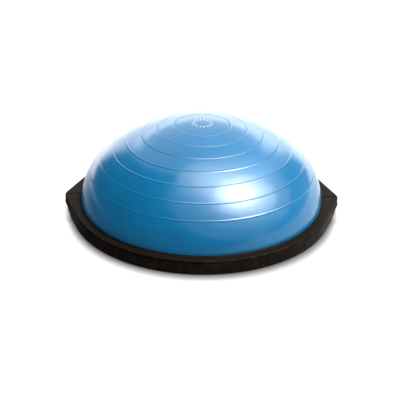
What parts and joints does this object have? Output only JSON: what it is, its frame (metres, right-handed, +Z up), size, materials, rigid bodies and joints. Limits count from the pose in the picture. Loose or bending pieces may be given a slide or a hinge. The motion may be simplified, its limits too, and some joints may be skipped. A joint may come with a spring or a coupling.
{
  "type": "half ball balance trainer",
  "caption": "Inflated ribbed half ball clamped in a flat round platform with two ears, finger pockets under the ears and a pull-out valve plug low on the rear.",
  "frame": {"origin": "centre of the platform on the floor it stands on", "axes": "+Z up through the top of the dome, +X through the tip of one ear, +Y towards the rear, where the valve is"},
  "size_m": [0.6798, 0.64, 0.2265],
  "materials": {
    "dome_vinyl": "glossy",
    "platform_plastic": "satin",
    "plug_plastic": "satin",
    "foot_rubber": "matte",
    "screw_steel": "zinc plated"
  },
  "bodies": {
    "trainer": {"dome_bladder": "dome_vinyl", "valve_seat": "dome_vinyl", "rim_front": "platform_plastic", "rim_rear": "platform_plastic", "platform_base": "platform_plastic", "rim_screw_01": "screw_steel", "rim_screw_02": "screw_steel", "rim_screw_03": "screw_steel", "rim_screw_04": "screw_steel", "rim_screw_05": "screw_steel", "rim_screw_06": "screw_steel", "rim_screw_07": "screw_steel", "rim_screw_08": "screw_steel", "rim_screw_09": "screw_steel", "rim_screw_10": "screw_steel", "rim_screw_11": "screw_steel", "rim_screw_12": "screw_steel", "foot_01": "foot_rubber", "foot_02": "foot_rubber", "foot_03": "foot_rubber", "foot_04": "foot_rubber", "foot_05": "foot_rubber", "foot_06": "foot_rubber", "foot_07": "foot_rubber", "foot_08": "foot_rubber"},
    "plug": {"valve_plug": "plug_plastic"}
  },
  "joints": [
    {"name": "plug_pull", "type": "slide", "parent": "trainer", "child": "plug", "axis": [0, 0.9268, 0.3756], "range_m": [0, 0.015]}
  ]
}
